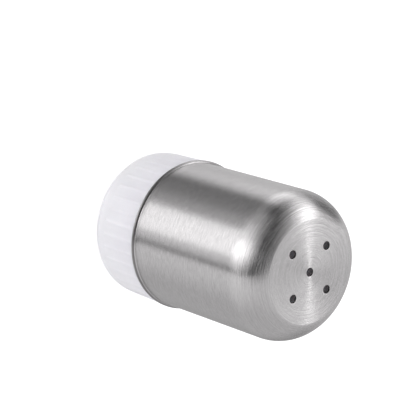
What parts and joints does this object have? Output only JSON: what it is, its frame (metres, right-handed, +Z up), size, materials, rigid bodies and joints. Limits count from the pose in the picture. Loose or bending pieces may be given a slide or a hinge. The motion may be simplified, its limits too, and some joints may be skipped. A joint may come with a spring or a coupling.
{
  "type": "spice shaker",
  "caption": "Table spice shaker: brushed steel shell with rounded shoulder and sprinkle holes, screwed over a ribbed white plastic jar base.",
  "frame": {"origin": "centre of the foot, on the surface that the shaker stands on", "axes": "+Z up along the shaker's axis, from the plastic foot to the sprinkle face; +X towards one of the outer sprinkle holes"},
  "size_m": [0.0516, 0.0516, 0.0819],
  "materials": {
    "steel": "deep-drawn stainless steel, brushed round the axis, with turned rings on the flat face",
    "white_plastic": "milky white polypropylene, moulded, low gloss",
    "collar_plastic": "natural polypropylene, moulded, matte",
    "silicone": "translucent white silicone, smooth"
  },
  "bodies": {
    "base": {"base_cup": "white_plastic"},
    "seal": {"seal_ring": "silicone"},
    "shell": {"thread_collar": "collar_plastic", "steel_shell": "steel"}
  },
  "joints": [
    {"name": "shell_turn", "type": "hinge", "parent": "base", "child": "seal", "pos_m": [0, 0, 0.0229], "axis": [0, 0, 1], "range_deg": [0, 900]},
    {"name": "shell_rise", "type": "slide", "parent": "seal", "child": "shell", "axis": [0, 0, 1], "range_m": [0, 0.00905]}
  ],
  "couplings": [
    {"joint": "shell_rise", "follows": "shell_turn", "m_per_rad": 0.00057296}
  ]
}
